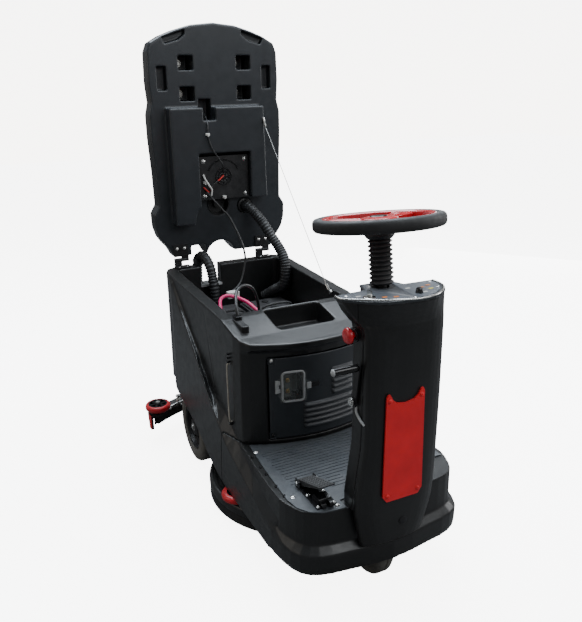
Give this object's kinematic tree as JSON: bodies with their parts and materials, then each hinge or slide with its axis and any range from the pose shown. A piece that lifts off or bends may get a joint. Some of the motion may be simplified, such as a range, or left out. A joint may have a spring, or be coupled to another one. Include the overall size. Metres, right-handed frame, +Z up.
{
  "type": "ride-on floor scrubber",
  "caption": "Compact ride-on floor scrubber-dryer with a steering column, foot deck, scrub brush, rear squeegee and a hinged tank and seat assembly swung open.",
  "frame": {"origin": "floor level under the middle of the machine's overall length and width, with the tank and seat assembly open", "axes": "+Z up, +Y towards the back of the machine, +X towards the driver's left hand as seen from the front (the machine's left side)"},
  "size_m": [0.728, 1.5206, 1.501],
  "materials": {
    "moulded_body": "satin rotomoulded polyethylene, fine orange peel",
    "panel_plastic": "satin ABS panel",
    "black_plastic": "fine grained black plastic",
    "battery_case": "moulded battery case",
    "red_plastic": "gloss red",
    "red_panel": "satin red",
    "red_roller": "red polyurethane",
    "clear_cover": "clear polycarbonate",
    "deck_mat": "ribbed rubber mat",
    "black_rubber": "black rubber",
    "grey_tyre": "grey non-marking tyre",
    "painted_steel": "black powder coat",
    "motor_case": "cast motor case",
    "bare_steel": "zinc plated",
    "seat_vinyl": "black vinyl"
  },
  "bodies": {
    "root": {"rear_body": "moulded_body", "front_platform": "moulded_body", "deck_mat": "deck_mat", "chassis_frame": "painted_steel", "electrical_panel": "panel_plastic", "socket_block": "panel_plastic", "controller_box": "black_plastic", "column_front": "moulded_body", "column_rear_cover": "moulded_body", "red_panel": "red_panel", "control_panel": "panel_plastic", "shaft_bellows": "black_rubber", "steering_chain": "bare_steel", "rear_axle": "bare_steel", "pedal_bracket": "black_plastic", "battery_right": "battery_case", "battery_left": "battery_case", "hinge_base_right": "painted_steel", "hinge_base_left": "painted_steel", "vacuum_hose": "black_rubber", "squeegee_hose": "black_rubber", "lid_cable": "black_rubber"},
    "lid": {"recovery_tank": "moulded_body", "vacuum_plate": "black_plastic", "vacuum_motor": "motor_case", "hinge_leaf_right": "painted_steel", "hinge_leaf_left": "painted_steel", "seat_pan": "black_plastic", "seat_cushion": "seat_vinyl", "seat_backrest": "seat_vinyl"},
    "tank_cover": {"tank_cover": "panel_plastic"},
    "steering": {"steering_rim": "black_rubber", "steering_spokes": "red_plastic", "steering_shaft": "painted_steel"},
    "lower_shaft": {"lower_steering_shaft": "bare_steel"},
    "yoke": {"drive_yoke": "painted_steel"},
    "drive_wheel": {"drive_hub": "motor_case", "drive_tyre": "grey_tyre"},
    "rear_wheel_right": {"rear_hub_right": "black_plastic", "rear_tyre_right": "grey_tyre"},
    "rear_wheel_left": {"rear_hub_left": "black_plastic", "rear_tyre_left": "grey_tyre"},
    "pedal": {"pedal_treadle": "black_rubber"},
    "lever": {"lift_lever_arm": "black_plastic", "lift_lever_grip": "black_rubber"},
    "stop_button": {"e_stop_button": "red_plastic"},
    "key": {"key": "bare_steel"},
    "socket_cover": {"socket_cover": "clear_cover"},
    "brush_deck": {"brush_cover": "moulded_body", "splash_skirt": "black_rubber", "brush_motor": "motor_case"},
    "brush": {"scrub_brush": "black_rubber"},
    "guard_roller": {"guard_roller": "red_roller"},
    "lift_arms": {"lift_frame": "painted_steel"},
    "carrier": {"swivel_carrier": "painted_steel"},
    "squeegee": {"squeegee_bar": "painted_steel", "rear_blade": "black_rubber", "front_blade": "black_rubber"},
    "squeegee_roller_right": {"squeegee_roller_right": "red_roller"},
    "squeegee_roller_left": {"squeegee_roller_left": "red_roller"}
  },
  "joints": [
    {"name": "lid_hinge", "type": "hinge", "parent": "root", "child": "lid", "pos_m": [0, 0.45833, 0.682], "axis": [1, 0, 0], "range_deg": [0, 90], "deforming": ["vacuum_hose", "lid_cable", "squeegee_hose"]},
    {"name": "tank_cover_hinge", "type": "hinge", "parent": "lid", "child": "tank_cover", "pos_m": [0, 0.63373, 0.82], "axis": [-1, 0, 0], "range_deg": [0, 90]},
    {"name": "steering_turn", "type": "hinge", "parent": "root", "child": "steering", "pos_m": [0, -0.60367, 0.987], "axis": [0, 0.1305, 0.9914], "range_deg": [-160, 160]},
    {"name": "lower_shaft_turn", "type": "hinge", "parent": "root", "child": "lower_shaft", "pos_m": [0, -0.65719, 0.3], "axis": [0, 0, 1], "range_deg": [-160, 160]},
    {"name": "drive_steer", "type": "hinge", "parent": "root", "child": "yoke", "pos_m": [0, -0.58667, 0.21], "axis": [0, 0, 1], "range_deg": [-80, 80]},
    {"name": "drive_roll", "type": "hinge", "parent": "yoke", "child": "drive_wheel", "pos_m": [0, -0.58667, 0.098], "axis": [1, 0, 0], "continuous": true},
    {"name": "rear_roll_right", "type": "hinge", "parent": "root", "child": "rear_wheel_right", "pos_m": [-0.2205, 0.20533, 0.125], "axis": [1, 0, 0], "continuous": true},
    {"name": "rear_roll_left", "type": "hinge", "parent": "root", "child": "rear_wheel_left", "pos_m": [0.2205, 0.20533, 0.125], "axis": [1, 0, 0], "continuous": true},
    {"name": "pedal_press", "type": "hinge", "parent": "root", "child": "pedal", "pos_m": [-0.168, -0.54367, 0.302], "axis": [1, 0, 0], "range_deg": [0, 12], "stiffness_Nm_per_rad": 2},
    {"name": "lift_lever", "type": "hinge", "parent": "root", "child": "lever", "pos_m": [-0.1024, -0.66967, 0.573], "axis": [-1, 0, 0], "range_deg": [0, 60]},
    {"name": "stop_press", "type": "slide", "parent": "root", "child": "stop_button", "axis": [1, 0, 0], "range_m": [0, 0.005]},
    {"name": "key_turn", "type": "hinge", "parent": "root", "child": "key", "pos_m": [-0.078, -0.69167, 0.8346], "axis": [0, 0, 1], "range_deg": [0, 90]},
    {"name": "socket_cover_hinge", "type": "hinge", "parent": "root", "child": "socket_cover", "pos_m": [-0.1325, -0.31047, 0.465], "axis": [0, 0, -1], "range_deg": [0, 110]},
    {"name": "brush_deck_lift", "type": "slide", "parent": "root", "child": "brush_deck", "axis": [0, 0, -1], "range_m": [0, 0.02]},
    {"name": "brush_spin", "type": "hinge", "parent": "brush_deck", "child": "brush", "pos_m": [0, -0.14367, 0.05], "axis": [0, 0, 1], "continuous": true},
    {"name": "guard_roller_spin", "type": "hinge", "parent": "brush_deck", "child": "guard_roller", "pos_m": [-0.245, -0.22367, 0.098], "axis": [0, 0, 1], "continuous": true},
    {"name": "squeegee_lift", "type": "hinge", "parent": "root", "child": "lift_arms", "pos_m": [0, 0.32833, 0.262], "axis": [-1, 0, 0], "range_deg": [0, 24], "deforming": ["squeegee_hose"]},
    {"name": "squeegee_level", "type": "hinge", "parent": "lift_arms", "child": "carrier", "pos_m": [0, 0.47333, 0.144], "axis": [1, 0, 0], "range_deg": [0, 24]},
    {"name": "squeegee_swivel", "type": "hinge", "parent": "carrier", "child": "squeegee", "pos_m": [0, 0.47333, 0.134], "axis": [0, 0, 1], "range_deg": [-8, 8], "deforming": ["squeegee_hose"]},
    {"name": "squeegee_roller_right_spin", "type": "hinge", "parent": "squeegee", "child": "squeegee_roller_right", "pos_m": [-0.316, 0.42133, 0.13], "axis": [0, 0, 1], "continuous": true},
    {"name": "squeegee_roller_left_spin", "type": "hinge", "parent": "squeegee", "child": "squeegee_roller_left", "pos_m": [0.316, 0.42133, 0.13], "axis": [0, 0, 1], "continuous": true}
  ],
  "couplings": [
    {"joint": "lower_shaft_turn", "follows": "steering_turn", "ratio": 1},
    {"joint": "drive_steer", "follows": "steering_turn", "ratio": 0.5},
    {"joint": "squeegee_lift", "follows": "lift_lever", "ratio": 0.4},
    {"joint": "squeegee_level", "follows": "lift_lever", "ratio": 0.4}
  ]
}
